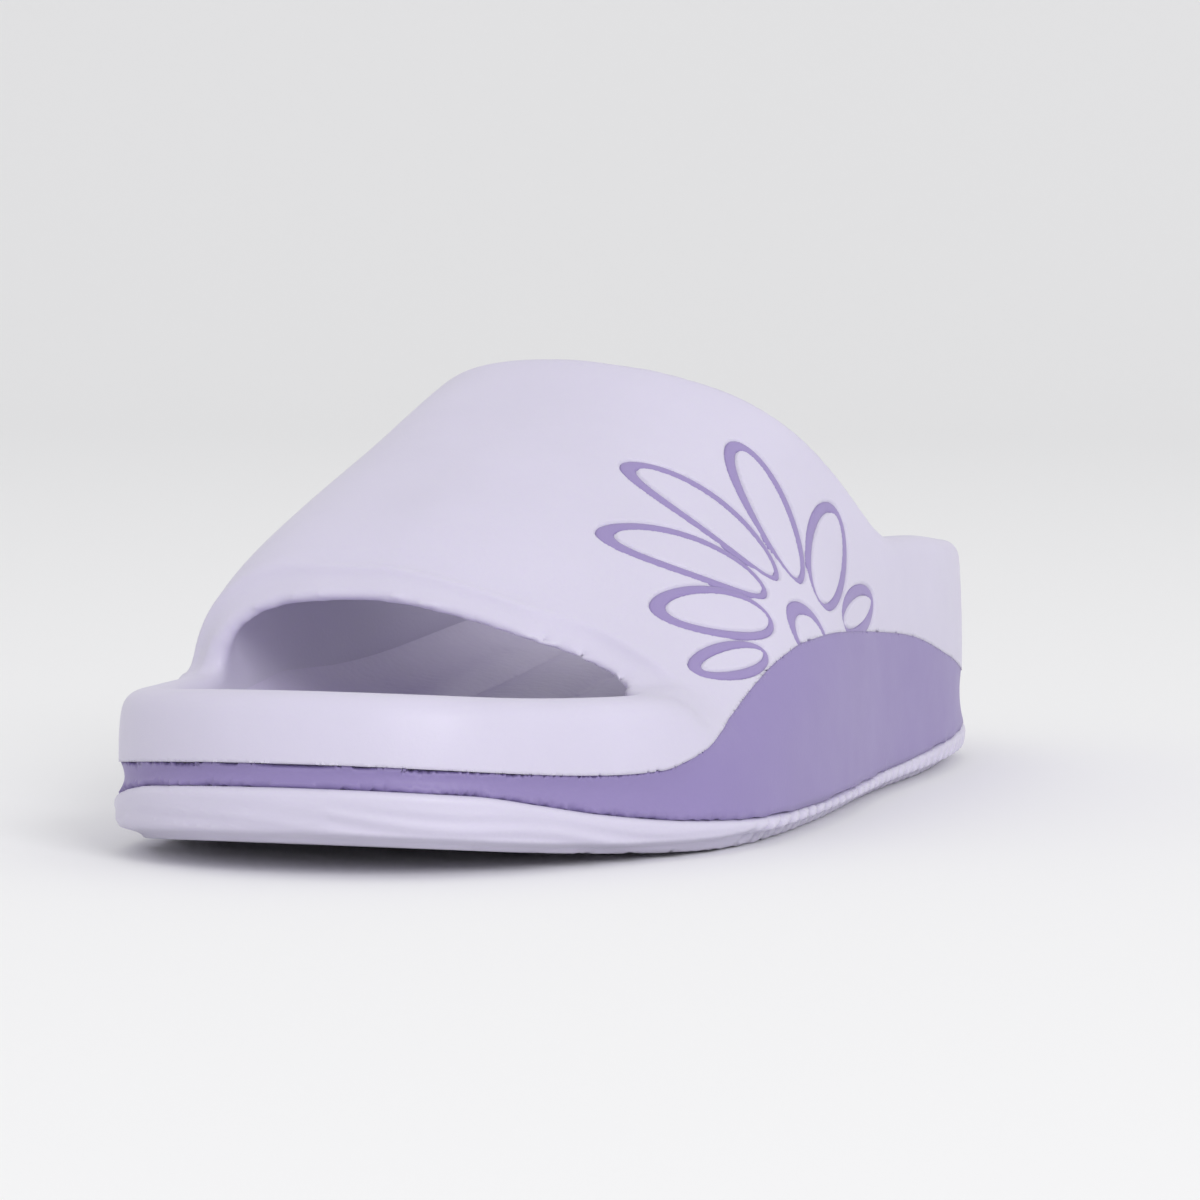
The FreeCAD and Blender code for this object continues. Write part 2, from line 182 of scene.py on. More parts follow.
def closed_curve(points, count):
    """Points along a closed cubic spline through the given ones."""
    points = np.array(points, float)
    gaps = np.linalg.norm(np.roll(points, -1, 0) - points, axis=1)
    size = len(points)
    system, right = np.zeros((size, size)), np.zeros((size, 2))
    for k in range(size):
        before, after = gaps[k - 1], gaps[k]
        system[k, k - 1] += after
        system[k, k] += 2 * (before + after)
        system[k, (k + 1) % size] += before
        back = (points[k] - points[k - 1]) / before
        ahead = (points[(k + 1) % size] - points[k]) / after
        right[k] = 3 * (after * back + before * ahead)
    lean = np.linalg.solve(system, right)
    knots = np.concatenate([[0], np.cumsum(gaps)])
    at = np.linspace(0, knots[-1], count, endpoint=False)
    k = np.clip(np.searchsorted(knots, at, side="right") - 1, 0, size - 1)
    u, gap = ((at - knots[k]) / gaps[k])[:, None], gaps[k][:, None]
    after = (k + 1) % size
    return ((1 + 2 * u) * (1 - u) ** 2 * points[k] + u * (1 - u) ** 2 * gap * lean[k]
            + u * u * (3 - 2 * u) * points[after] + u * u * (u - 1) * gap * lean[after])


class Footprint:
    """The outline's signed distance (negative inside), and its half widths by station."""
    STEP, MARGIN, RING_STEPS = 1.0, 12.0, 1400

    def __init__(self):
        ring = closed_curve([(HALF * x, TOE + LENGTH * s) for x, s in FOOTPRINT], self.RING_STEPS)
        self.low = ring.min(0) - self.MARGIN
        size = np.ceil((ring.max(0) + self.MARGIN - self.low) / self.STEP).astype(int) + 1
        xs = self.low[0] + self.STEP * np.arange(size[0])
        ys = self.low[1] + self.STEP * np.arange(size[1])
        self.map = np.stack([self.column(x, ys, ring) for x in xs])
        side = {}
        for name, sign in (("lateral", 1), ("medial", -1)):
            mid = ring[np.argmin(ring[:, 1])][0]
            half = ring[(ring[:, 0] - mid) * sign > 0]
            half = half[np.argsort(half[:, 1])]
            side[name] = half
        self.lateral, self.medial = side["lateral"], side["medial"]

    def column(self, x, ys, ring):
        here = np.stack([np.full_like(ys, x), ys], 1)
        start, end = ring, np.roll(ring, -1, 0)
        run = end - start
        off = here[:, None, :] - start[None]
        share = np.clip((off * run).sum(2) / (run * run).sum(1), 0, 1)
        gap = np.linalg.norm(off - share[..., None] * run, axis=2).min(1)
        crosses = (start[:, 1] > here[:, 1:2]) != (end[:, 1] > here[:, 1:2])
        rise = np.where(run[:, 1] == 0, 1e-9, run[:, 1])
        reach = start[:, 0] + (here[:, 1:2] - start[:, 1]) * run[:, 0] / rise
        within = (crosses & (x < reach)).sum(1) % 2 == 1
        return np.where(within, -gap, gap)

    def distance(self, x, y):
        x, y = np.broadcast_arrays(x, y)
        u = np.clip((x - self.low[0]) / self.STEP, 0, self.map.shape[0] - 1.001)
        v = np.clip((y - self.low[1]) / self.STEP, 0, self.map.shape[1] - 1.001)
        i, j = u.astype(int), v.astype(int)
        u, v = u - i, v - j
        near = self.map[i, j] * (1 - v) + self.map[i, j + 1] * v
        far = self.map[i + 1, j] * (1 - v) + self.map[i + 1, j + 1] * v
        return near * (1 - u) + far * u

    def halves(self, y):
        right = np.interp(y, self.lateral[:, 1], self.lateral[:, 0])
        left = np.interp(y, self.medial[:, 1], self.medial[:, 0])
        return (right + left) / 2, (right - left) / 2


foot = Footprint()

# Along the foot: (station, value). Heights don't count the toe's spring, except the crown's.
crown_line = curve(
    (0, 43), (40, 43.5), (61, 45.6), (66, 49), (72, 52.8), (90, 60.8), (110, 69.2), (138, 81.2),
    (165, 89), (200, 98), (265, 104))
peak_line = curve((0, -14), (61, -13.5), (100, -11), (139, -9), (180, -4))
lateral_power = curve((30, 2.2), (48, 1.5), (62, 1.33), (95, 1.72), (139, 2.1), (170, 2.4))
rim_line = curve(
    (0, 23.8), (20, 24.2), (45, 25.4), (62, 26.6), (80, 30), (105, 37), (130, 43.5), (152, 46.5),
    (185, 46), (225, 43.5), (265, 42))
bed_line = curve((0, 17), (60, 17), (100, 19.6), (150, 25.6), (190, 29.8), (225, 31), (265, 31.4))
outsole_line = curve(
    (0, 8.4), (10, 8.4), (20, 7.5), (30, 6.4), (45, 5.4), (70, 4.9), (110, 4.6), (160, 5),
    (220, 6.6), (265, 7.6))
lip_line = curve((0, 1.0), (30, 1.3), (49, 2.0), (69, 3.0), (107, 3.3), (160, 3.0), (220, 3.2), (265, 3.6))
lateral_wave = curve(
    (0, 12.1), (20, 12.3), (31, 12.6), (41, 13.5), (46, 15.1), (54, 18.3), (63, 21.6), (75, 25.8),
    (88, 29.5), (100, 31.5), (115, 32.1), (133, 31.3), (154, 29.8), (171, 28.2), (205, 22),
    (235, 17), (265, 15.5))
medial_wave = curve(
    (0, 12.1), (50, 12.6), (75, 14.8), (100, 19.2), (125, 23.2), (147, 24.6), (170, 23.2),
    (205, 18.6), (240, 16), (265, 15.5))
# Across the foot: (x, station) of the strap's front lip and of its rear edge.
front_edge = curve(
    (-54, 62), (-45, 60.8), (-36, 60), (-24, 57.6), (-8, 56.4), (8, 56.6), (24, 59.4), (33, 58.6),
    (45, 57), (54, 56))
rear_edge = curve(
    (-54, 161), (-45, 153), (-38, 146), (-34, 141), (-28, 137.8), (-18, 136.2), (0, 136.2), (9, 138),
    (15, 139.8), (22, 143), (30, 147), (37, 151), (45, 156.5), (54, 163))


def spring(s):
    """How far the toe's curl lifts a station."""
    return SPRING * np.clip((SPRING_START - s) / SPRING_START, 0, 1) ** 2


def rim_top(s):
    return rim_line(s) + spring(s)


def outsole_top(s):
    return outsole_line(s) + spring(s)


def wave_top(x, y):
    """Top of the coloured wall: a hill on the lateral side and a low swell on the medial one."""
    s = y - TOE
    side = ease((x - foot.halves(y)[0] + SIDE_BLEND / 2) / SIDE_BLEND)
    return spring(s) + lateral_wave(s) * side + medial_wave(s) * (1 - side)


# ---------------------------------------------------------------- distance fields
def smooth_max(a, b, reach):
    """The larger of two fields, rounded where they meet."""
    near = np.clip(reach - np.abs(a - b), 0, None) / reach
    return np.maximum(a, b) + near * near * reach / 4


def section(x, y):
    """How far a point lies in from the side wall, and the half width and power of the arch over it."""
    s = y - TOE
    middle, half = foot.halves(y)
    peak = peak_line(s)
    strap = window(s, *STRAP_ZONE)
    outer = x > peak
    inset = half - (x - middle) * np.where(outer, 1.0, -1.0)
    reach = half + (middle - peak) * np.where(outer, 1.0, -1.0)
    power = np.where(outer, lateral_power(s), MEDIAL_POWER)
    inset = strap * inset - (1 - strap) * foot.distance(x, y)
    return inset, strap * reach + (1 - strap) * END_HALF, strap * power + (1 - strap) * END_POWER


def arch(inset, half, power, z, rise):
    """Distance to a superelliptic arch over upright legs, and the upward part of its normal."""
    across = np.clip((half - inset) / half, 1e-3, None)
    up = (z - ARCH_BASE) / rise
    up = np.clip((up + np.sqrt(up * up + (ARCH_KNEE / rise) ** 2)) / 2, 1e-6, None)
    size = (across ** power + up ** power) ** (1 / power)
    steep = (up / size) ** (power - 1) / rise
    slope = np.sqrt(((across / size) ** (power - 1) / half) ** 2 + steep ** 2)
    return (size - 1) / slope, steep / slope


def hull_arch(x, y, z):
    """The outer surface of the strap and the side walls, as if the strap ran the whole length."""
    inset, half, power = section(x, y)
    return arch(inset - WALL_INSET, half - WALL_INSET, power, z, crown_line(y - TOE) - ARCH_BASE)


def hull_field(x, y, z):
    return hull_arch(x, y, z)[0]


def above_seam(x, y, z):
    """Height over the coloured wall's edge, which meets the outer surface squarely."""
    hull, lift = hull_arch(x, y, z)
    return z - np.clip(hull, -WAVE_THICK - SEAM_REACH, SEAM_REACH) * lift - wave_top(x, y)


def cavity_field(x, y, z):
    """The room for the foot. Its wall is thick at the rim and thin under the strap."""
    s = y - TOE
    inset, half, power = section(x, y)
    rim = rim_top(s)
    thick = STRAP_THICK + (RIM_WIDTH - STRAP_THICK) * (1 - ease((z - rim + RIM_LAP) / RIM_FADE))
    wall = thick + WALL_INSET + WALL_FLARE * ease((rim - z) / RIM_FADE)
    return arch(inset - wall, half - wall, power, z, crown_line(s) - ARCH_BASE - STRAP_THICK)[0]


def shell_field(x, y, z):
    """Rim, side walls and strap, before the coloured wall is taken out of them."""
    s = y - TOE
    hull = hull_field(x, y, z)
    above_rim = rim_top(s) - z
    bevel = BEVEL_REACH * (1 - np.clip(-hull / BEVEL_DEPTH, 0, 1) ** BEVEL_POWER)
    front = smooth_max(s - front_edge(x) - bevel, above_rim, FRONT_FILLET)
    rear = smooth_max(rear_edge(x) - s, above_rim, REAR_FILLET)
    corner = FRONT_ROUND + RIM_ROUND * ease((front_edge(x) - s) / CORNER_FADE)
    outside = smooth_max(hull, -front, corner)
    outside = smooth_max(outside, -rear, REAR_ROUND)
    at_toe = ease((front_edge(x) - INNER_LEAD - s) / CORNER_FADE)
    behind = ease((s - INNER_START) / INNER_FADE)
    inner = LIP_ROUND + INNER_ROUND * np.maximum(at_toe, behind)
    return smooth_max(outside, -cavity_field(x, y, z), inner)


def upper_field(x, y, z):
    """The shell without the coloured wall, which it lines on the inside."""
    lining = hull_field(x, y, z) + WAVE_THICK + SEAM_GAP
    wall = np.minimum(SEAM_GAP - above_seam(x, y, z), lining)
    solid = smooth_max(shell_field(x, y, z), wall, SEAM_ROUND)
    return np.maximum(solid, MIDSOLE_TOP - UPPER_LAP + spring(y - TOE) - z)


def midsole_wall(x, y, z):
    """The coloured wall's outer surface: a little hollow where it is a narrow band, flared at its foot."""
    s = y - TOE
    base, top = outsole_top(s), wave_top(x, y)
    share = np.clip((z - base) / (top - base), 0, 1)
    thin = 1 - ease((top - base - BAND_HEIGHT) / BAND_FADE)
    hollow = thin * BAND_HOLLOW * np.sin(math.pi * share)
    flare = (WALL_INSET - FLARE_GAP) * (1 - share) ** FLARE_POWER
    return hull_field(x, y, z) + hollow - flare + BAND_INSET * thin


def midsole_field(x, y, z):
    """The coloured wall and the layer under the foot, without the room for upper and footbed."""
    s = y - TOE
    floor = MIDSOLE_TOP - ROOM_LAP + spring(s)
    room = smooth_max(hull_field(x, y, z) + WAVE_THICK, floor - z, SEAM_ROUND)
    solid = smooth_max(midsole_wall(x, y, z), above_seam(x, y, z) + SEAM_GAP, SEAM_ROUND)
    solid = smooth_max(solid, outsole_top(s) + SOLE_GAP - z, SOLE_ROUND)
    return np.maximum(solid, -room)


def rib_height(x, y):
    """Pillow ribs with sharp valleys between them, in groups that fade into each other."""
    s = y - TOE
    middle, half = foot.halves(y)
    lane = (x - middle) * RIB_LANES / half + RIB_SWAY * np.sin(s / RIB_SWAY_LENGTH)
    pillow = np.where(np.abs(lane) < RIB_LIMIT, np.abs(np.sin(math.pi * lane)) ** RIB_POWER, 1.0)
    groups = sum(window(s, *group) for group in RIB_GROUPS)
    return RIB_HEIGHT * (pillow - RIB_LEVEL) * groups


def bed_top(x, y):
    """Top of the footbed: level in the middle, dished up towards the rim."""
    s = y - TOE
    gap = section(x, y)[0] - RIM_WIDTH - WALL_INSET - WALL_FLARE + BED_EDGE
    rise = np.minimum(DISH_RISE, DISH_SHARE * (rim_line(s) - bed_line(s)))
    dish = rise * np.clip(1 - gap / DISH_WIDTH, 0, DISH_LIMIT) ** DISH_POWER
    return bed_line(s) + BED_SPRING * spring(s) + dish + rib_height(x, y) * ease(gap / RIB_MARGIN)


def footbed_field(x, y, z):
    """The ribbed bed, down to just below the midsole's top."""
    s = y - TOE
    top = (z - bed_top(x, y)) * BED_STEEPNESS
    side = RIM_WIDTH + BED_GAP - section(x, y)[0]
    under = MIDSOLE_TOP - BED_LAP + spring(s) - z
    return smooth_max(np.maximum(top, side), under, BED_ROUND)


def tread_depth(x, y):
    """Wavy grooves across the ball and the heel, and a long shallow slot along the waist."""
    s = y - TOE
    middle, _ = foot.halves(y)
    across = x - middle
    wave = TREAD_WAVE * np.sin(across / TREAD_WAVE_LENGTH)

    def grooves(phase, start, end):
        off = np.abs((phase / TREAD_PITCH) % 1.0 - 0.5) * TREAD_PITCH
        cut = 1 - ease((off - TREAD_HALF + TREAD_SOFT / 2) / TREAD_SOFT)
        return window(s, start, TREAD_FADE, end, TREAD_FADE, cut)

    inset = section(x, y)[0]
    edge = ease((inset - LUG_INSET - TREAD_MARGIN) / TREAD_MARGIN_SOFT)
    ball = grooves(s + TREAD_LEAN * across + wave, *BALL_GROOVES)
    heel = grooves(s - TREAD_LEAN * across - wave, *HEEL_GROOVES)
    waist = 1 - ease((np.abs(s - WAIST_MIDDLE) - WAIST_HALF) / TREAD_FADE)
    waist = waist * ease((inset - WAIST_MARGIN) / TREAD_FADE) * WAIST_SHARE
    return TREAD_DEPTH * np.clip((ball + heel) * edge + waist * edge, 0, 1)


def outsole_grain(x, s, height):
    """Shallow flowing waves where the lip has no teeth."""
    bend = GRAIN_BEND * np.sin(s / GRAIN_ALONG + x / GRAIN_ACROSS)
    return GRAIN_DEPTH * np.sin(height * GRAIN_RISE + bend + x / GRAIN_DRIFT)


def outsole_field(x, y, z):
    """The treaded sole. Its lip is toothed on the outer side and stands out over the floor."""
    s = y - TOE
    inset = section(x, y)[0]
    height, top, lip = z - spring(s), outsole_line(s), lip_line(s)
    below = np.clip((top - height) / top, 0, 1)
    toothed = window(s, *TOOTH_ZONE) * ease((x - foot.halves(y)[0]) / TOOTH_FADE)
    wave = np.sin(2 * math.pi * (s - TOOTH_LEAN * height) / TOOTH_PITCH)
    lip = lip + TOOTH_WAVE * wave * toothed
    under_lip = ease((lip - height + LIP_LAP) / LIP_SOFT)
    teeth = TOOTH_DEPTH * np.clip(wave, 0, 1) * toothed
    band = ease((lip + TOOTH_LAP - height) / TOOTH_SOFT)
    grain = outsole_grain(x, s, height) * (1 - toothed)
    curl = CURL * below ** 2 + LUG_INSET * under_lip
    wall = inset - curl - teeth * band - grain * ease((below - GRAIN_START) / GRAIN_FADE)
    solid = smooth_max(-wall, tread_depth(x, y) - height, FLOOR_ROUND)
    return smooth_max(solid, height - top, TOP_ROUND)


# ---------------------------------------------------------------- zones of the shoe
def near_seam(points):
    """Whether points are close to the line where the two colours meet on the outside."""
    outside = np.abs(hull_field(*points.T)) < SKIN_NEAR
    return (np.abs(points[:, 2] - wave_top(points[:, 0], points[:, 1])) < SEAM_NEAR) & outside


def on_seam(points):
    """Whether points are right at that line."""
    outside = np.abs(hull_field(*points.T)) < SEAM_CLOSE
    return (np.abs(points[:, 2] - wave_top(points[:, 0], points[:, 1])) < SEAM_CLOSE) & outside


def near_lip(points):
    """Whether points are close to the soft band along the strap's front edge."""
    s = points[:, 1] - TOE
    off = s - front_edge(points[:, 0])
    return (off > -LIP_AHEAD) & (off < LIP_BEHIND) & (points[:, 2] > rim_top(s) + LIP_ABOVE)


def at_tip(points):
    """Whether points are on the thin lower edge of that band."""
    s = points[:, 1] - TOE
    return (s - front_edge(points[:, 0]) < TIP_REACH) & near_lip(points)


def at_teeth(points):
    """Whether points are on the outer side of the sole's edge, where the teeth are."""
    return (section(points[:, 0], points[:, 1])[0] < TEETH_NEAR) & (points[:, 0] > 0)


def near_motif(points):
    """Whether points are close to the strap's front edge, the seam or the drawn lines."""
    return near_seam(points) | near_lip(points) | (motif_distance(points) < MOTIF_NEAR)


def on_motif(points):
    """Whether points are right at the seam or a drawn line."""
    return on_seam(points) | (motif_distance(points) < MOTIF_CLOSE)


# ---------------------------------------------------------------- meshes from fields
CORNERS = [(i, j, k) for i in (0, 1) for j in (0, 1) for k in (0, 1)]
CELL_EDGES = [(a, b) for a in CORNERS for b in CORNERS
              if a < b and sum(abs(p - q) for p, q in zip(a, b)) == 1]


def polygonise(field, low, high, cell):
    """A quad mesh of the field's zero surface: one point for each cell that it crosses."""
    axes = [np.arange(lo - 2 * cell, hi + 3 * cell, cell) for lo, hi in zip(low, high)]
    grid = np.meshgrid(*axes, indexing="ij", sparse=True)
    values = field(*grid)
    inside = values < 0
    cells = tuple(size - 1 for size in inside.shape)
    count = np.zeros(cells, np.int8)
    for i, j, k in CORNERS:
        count += inside[i:i + cells[0], j:j + cells[1], k:k + cells[2]]
    active = (count > 0) & (count < 8)
    index = np.argwhere(active)
    number = np.full(cells, -1, np.int64)
    number[active] = np.arange(len(index))
    total, hits = np.zeros((len(index), 3)), np.zeros(len(index))
    for a, b in CELL_EDGES:
        start = values[tuple((index + a).T)]
        end = values[tuple((index + b).T)]
        crossed = (start < 0) != (end < 0)
        share = start[crossed] / (start[crossed] - end[crossed])
        total[crossed] += np.array(a) + share[:, None] * (np.array(b) - np.array(a))
        hits[crossed] += 1
    points = np.array([axis[0] for axis in axes]) + (index + total / hits[:, None]) * cell
    quads = []
    for axis in range(3):
        first = np.take(inside, range(inside.shape[axis] - 1), axis)
        second = np.take(inside, range(1, inside.shape[axis]), axis)
        where = np.argwhere(first != second)
        u, v = np.eye(3, dtype=int)[(axis + 1) % 3], np.eye(3, dtype=int)[(axis + 2) % 3]
        ring = np.stack([number[tuple((where - shift).T)] for shift in (0 * u, u, u + v, v)], 1)
        outward = first[tuple(where.T)]
        ring[~outward] = ring[~outward][:, ::-1]
        quads.append(ring)
    return points, np.concatenate(quads)


def add_object(name, data):
    made = bpy.data.objects.new(name, data)
    bpy.context.scene.collection.objects.link(made)
    return made


def read_points(mesh):
    """The mesh's points, in millimetres."""
    flat = np.empty(len(mesh.vertices) * 3)
    mesh.vertices.foreach_get("co", flat)
    return flat.reshape(-1, 3) / MM


def write_points(mesh, points):
    mesh.vertices.foreach_set("co", (points * MM).ravel())
    mesh.update()


def read_edges(mesh):
    pairs = np.empty(len(mesh.edges) * 2, np.int32)
    mesh.edges.foreach_get("vertices", pairs)
    return pairs.reshape(-1, 2)


def edges_of(quads):
    """The point pairs along the sides of some quads, each once."""
    pairs = np.concatenate([quads[:, [k, (k + 1) % 4]] for k in range(4)])
    return np.unique(np.sort(pairs, 1), axis=0)


def slope_of(field, points, nudge=0.12):
    """A field's value and its gradient at some points."""
    here = field(*points.T)
    slope = np.empty_like(points)
    for axis in range(3):
        moved = points.copy()
        moved[:, axis] += nudge
        slope[:, axis] = (field(*moved.T) - here) / nudge
    return here, slope


def hull_normals(points):
    """Unit vectors out of the strap's outer surface."""
    _, slope = slope_of(hull_field, points)
    return slope / np.linalg.norm(slope, axis=1, keepdims=True)


def settle(points, field, rounds=3, reach=0.5):
    """Move points onto the field's zero surface."""
    for _ in range(rounds):
        here, slope = slope_of(field, points)
        steep = np.clip((slope * slope).sum(1), 0.15, None)
        move = -slope * (here / steep)[:, None]
        size = np.linalg.norm(move, axis=1, keepdims=True)
        points = points + move * np.minimum(1, reach / np.clip(size, 1e-9, None))
    return points


def relax(points, edges, share=0.5):
    """Even the points out towards the middle of their neighbours."""
    total, degree = np.zeros_like(points), np.zeros(len(points))
    for a, b in (edges.T, edges[:, ::-1].T):
        degree += np.bincount(a, minlength=len(points))
        for axis in range(3):
            total[:, axis] += np.bincount(a, points[b, axis], len(points))
    return points + share * (total / degree[:, None] - points)


def soften(mesh, wanted, rounds=14):
    """Smooth the chosen points only."""
    edges = read_edges(mesh)
    points = read_points(mesh)
    chosen = wanted(points)
    for _ in range(rounds):
        points[chosen] = relax(points, edges)[chosen]
    write_points(mesh, points)


def crease(mesh, surface, reach=0.34):
    """Pull the points near the seam between the two colours onto it, so that its edge is clean."""
    points = read_points(mesh)
    near = (np.abs(surface(*points.T)) < reach) & (np.abs(above_seam(*points.T)) < reach)
    moved = points[near]
    for _ in range(3):
        skin, skin_slope = slope_of(surface, moved)
        seam, seam_slope = slope_of(above_seam, moved)
        aa, bb = (skin_slope ** 2).sum(1), (seam_slope ** 2).sum(1)
        ab = (skin_slope * seam_slope).sum(1)
        whole = np.clip(aa * bb - ab * ab, 0.05, None)
        first, second = (bb * skin - ab * seam) / whole, (aa * seam - ab * skin) / whole
        moved = moved - first[:, None] * skin_slope - second[:, None] * seam_slope
    points[near] = moved
    write_points(mesh, points)


def split_faces(mesh, wanted):
    """Split the edges whose two ends are wanted, and keep every face a triangle or a quad."""
    chosen = wanted(read_points(mesh))
    work = bmesh.new()
    work.from_mesh(mesh)
    work.verts.ensure_lookup_table()
    edges = [edge for edge in work.edges if chosen[edge.verts[0].index] and chosen[edge.verts[1].index]]
    bmesh.ops.subdivide_edges(work, edges=edges, cuts=1, use_grid_fill=True)
    bmesh.ops.triangulate(work, faces=[face for face in work.faces if len(face.verts) > 4])
    work.to_mesh(mesh)
    work.free()


def moulded(name, field, low, high, cell, finer=(), rounds=2, finer_rounds=3, finer_share=0.3):
    """A mesh object of a field. Each of finer picks the points whose faces are split in four."""
    points, quads = polygonise(field, low, high, cell)
    edges = edges_of(quads)
    for _ in range(rounds):
        points = settle(relax(points, edges), field)
    mesh = bpy.data.meshes.new(name)
    mesh.from_pydata((points * MM).tolist(), [], quads.tolist())
    for wanted in finer:
        split_faces(mesh, wanted)
    if finer:
        points, edges = read_points(mesh), read_edges(mesh)
        for _ in range(finer_rounds):
            points = settle(relax(points, edges, finer_share), field)
        write_points(mesh, points)
    piece = add_object(name, mesh)
    mesh.shade_smooth()
    return piece


# ---------------------------------------------------------------- motif
MOTIF_STATION, MOTIF_HEIGHT, MOTIF_TILT = 105.0, 34.0, math.radians(38)
MOTIF_OUT = 0.97                          # share of the half width
MOTIF_INNER, MOTIF_LOWEST, MOTIF_SKIN, FAR = 8, 20, 0.8, 99.0    # where lines may be drawn, and elsewhere
PETAL_START, PETAL_END, PETAL_WIDTH = 12.0, 46.0, 12.5
PETALS = [(28, 0.96), (59, 1.0), (90, 0.98), (121, 0.89), (152, 0.78)]   # angle, share of the longest
LEAF_WIDTH, LEAF_ROOT = 8.0, (19, 1)
FRONT_LEAF, REAR_LEAF = (20.0, 172), (25.0, 8)    # length and angle
CENTRE_RADIUS = 7.5
LINE_THIN, LINE_THICK = 1.2, 2.6          # the line's width at a loop's root and at its tip
LINE_STEPS = 150
GROOVE_DEPTH, GROOVE_WALL, GROOVE_LAP = 0.6, 0.32, 0.02
INLAY_SINK, INLAY_DEPTH = 0.28, 1.1       # the line's top and its underside, below the strap
INLAY_EDGE, INLAY_CROWN = INLAY_SINK + 0.12, INLAY_SINK - 0.04
# Across a line: (share of its width, depth below the strap), round from one underside to the other.
INLAY_PROFILE = [
    (0.0, INLAY_DEPTH), (0.0, INLAY_EDGE), (0.12, INLAY_SINK), (0.35, INLAY_CROWN),
    (0.65, INLAY_CROWN), (0.88, INLAY_SINK), (1.0, INLAY_EDGE), (1.0, INLAY_DEPTH),
]
CAST_REACH, CAST_ROUNDS = 30.0, 28
motif_centre = np.array([HALF * MOTIF_OUT, TOE + MOTIF_STATION, MOTIF_HEIGHT])
motif_out = np.array([math.cos(MOTIF_TILT), 0, math.sin(MOTIF_TILT)])
motif_up = np.array([-math.sin(MOTIF_TILT), 0, math.cos(MOTIF_TILT)])
motif_along = np.array([0.0, 1.0, 0.0])

# Each loop: node, start and end along its axis, width, angle in degrees, root.
LOOPS = [(f"petal_inlay_{k + 1}", PETAL_START, PETAL_END * share, PETAL_WIDTH, angle, (0, 0))
         for k, (angle, share) in enumerate(PETALS)]
LOOPS += [
    ("flower_centre_inlay", -CENTRE_RADIUS, CENTRE_RADIUS, 2 * CENTRE_RADIUS, 90, (0, 0)),
    ("front_leaf_inlay", 0.0, FRONT_LEAF[0], LEAF_WIDTH, FRONT_LEAF[1], (-LEAF_ROOT[0], LEAF_ROOT[1])),
    ("rear_leaf_inlay", 0.0, REAR_LEAF[0], LEAF_WIDTH, REAR_LEAF[1], LEAF_ROOT),
]


def loop_ellipses(start, end, width, angle, root):
    """The outer and inner ellipse of a loop: centre and two half axes each, and its turn."""
    turn = math.radians(angle)
    axis = np.array([math.cos(turn), math.sin(turn)])
    inner = (start + LINE_THIN, end - LINE_THICK, (LINE_THIN + LINE_THICK) / 2)
    found = []
    for low, high, thin in ((start, end, 0), inner):
        centre = np.array(root, float) + axis * (low + high) / 2
        found.append((centre, (high - low) / 2, width / 2 - thin))
    return found, turn


def loop_distance(flat, loop):
    """Signed distance of points in the motif's plane to a loop's line, negative inside it."""
    (outer, inner), turn = loop_ellipses(*loop[1:])
    ends = []
    for centre, long_half, short_half in (outer, inner):
        off = flat - centre
        along = off @ [math.cos(turn), math.sin(turn)] / long_half
        across = off @ [-math.sin(turn), math.cos(turn)] / short_half
        size = np.sqrt(along ** 2 + across ** 2) + 1e-9
        slope = np.sqrt((along / long_half) ** 2 + (across / short_half) ** 2) / size + 1e-9
        ends.append((size - 1) / slope)
    return np.maximum(ends[0], -ends[1])


def motif_plane(points):
    """Where points lie in the motif's plane: along the foot, and up."""
    off = points - motif_centre
    return np.stack([off @ motif_along, off @ motif_up], 1)


def motif_distance(points):
    """Distance to the nearest drawn line, negative inside it, for points on the strap's outer side."""
    flat = motif_plane(points)
    gap = np.min([loop_distance(flat, loop) for loop in LOOPS], axis=0)
    outer_side = (points[:, 0] > MOTIF_INNER) & (points[:, 2] > MOTIF_LOWEST)
    on_skin = np.abs(hull_field(*points.T)) < MOTIF_SKIN
    return np.where(outer_side & on_skin, gap, FAR)


def cast(flat):
    """The points of the strap's outer surface in front of points in the motif's plane."""
    start = motif_centre + flat[:, :1] * motif_along + flat[:, 1:] * motif_up
    low, high = np.full(len(flat), -CAST_REACH), np.full(len(flat), CAST_REACH)
    for _ in range(CAST_ROUNDS):
        middle = (low + high) / 2
        out = hull_field(*(start + middle[:, None] * motif_out).T) > 0
        high, low = np.where(out, middle, high), np.where(out, low, middle)
    return start + low[:, None] * motif_out


def inlay(loop):
    """One drawn line: a closed ribbon that follows the strap, a little below its surface."""
    (outer, inner), turn = loop_ellipses(*loop[1:])
    around = np.linspace(0, 2 * math.pi, LINE_STEPS, endpoint=False)
    lines = []
    for centre, long_half, short_half in (inner, outer):
        along, across = long_half * np.cos(around), short_half * np.sin(around)
        lines.append(centre + np.stack([along * math.cos(turn) - across * math.sin(turn),
                                        along * math.sin(turn) + across * math.cos(turn)], 1))
    rows = []
    for share, sink in INLAY_PROFILE:
        points = cast(lines[0] * (1 - share) + lines[1] * share)
        rows.append(points - hull_normals(points) * sink)
    count, faces = len(rows), []
    for r in range(count):
        row, after = r * LINE_STEPS, (r + 1) % count * LINE_STEPS
        for k in range(LINE_STEPS):
            beyond = (k + 1) % LINE_STEPS
            faces.append((row + k, after + k, after + beyond, row + beyond))
    mesh = bpy.data.meshes.new(loop[0])
    mesh.from_pydata((np.concatenate(rows) * MM).tolist(), [], faces)
    piece = add_object(loop[0] + "_line", mesh)
    mesh.shade_smooth()
    return piece


